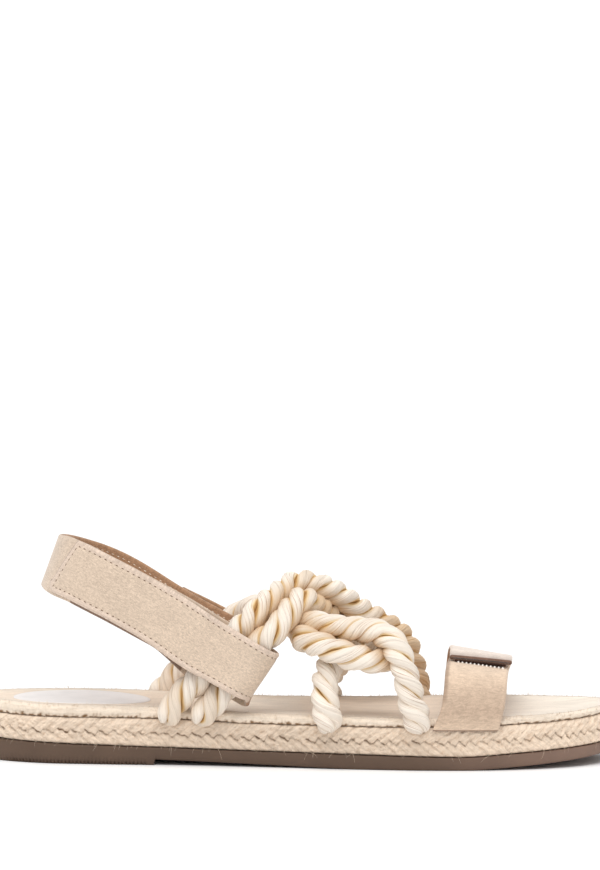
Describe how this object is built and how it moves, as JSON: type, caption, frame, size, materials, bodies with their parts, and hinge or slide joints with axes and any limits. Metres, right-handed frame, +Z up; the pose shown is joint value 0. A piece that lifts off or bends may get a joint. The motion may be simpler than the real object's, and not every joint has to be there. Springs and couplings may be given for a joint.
{
  "type": "braided sandal",
  "caption": "Flat women's sandal for a right foot: twisted rope upper crossed over the instep, suede heel sling and toe strap, braided jute midsole on a brown outsole.",
  "frame": {"origin": "on the ground, under the middle of the sandal's bounding box", "axes": "+X from the heel to the toe, +Y to the inner side of the foot, +Z up"},
  "size_m": [0.259, 0.0952, 0.0891],
  "materials": {
    "outsole_rubber": "matte moulded rubber, grey brown",
    "jute_braid": "braided jute cord, natural",
    "insole_suede": "suede, pale sand",
    "cotton_rope": "three-strand twisted rope, cream",
    "strap_suede": "suede with a tan lining, pale beige"
  },
  "bodies": {
    "root": {"outsole": "outsole_rubber", "midsole": "jute_braid", "insole": "insole_suede", "rope_upper": "cotton_rope", "heel_strap": "strap_suede", "toe_strap_base": "strap_suede", "toe_strap_flap": "strap_suede"}
  },
  "joints": []
}
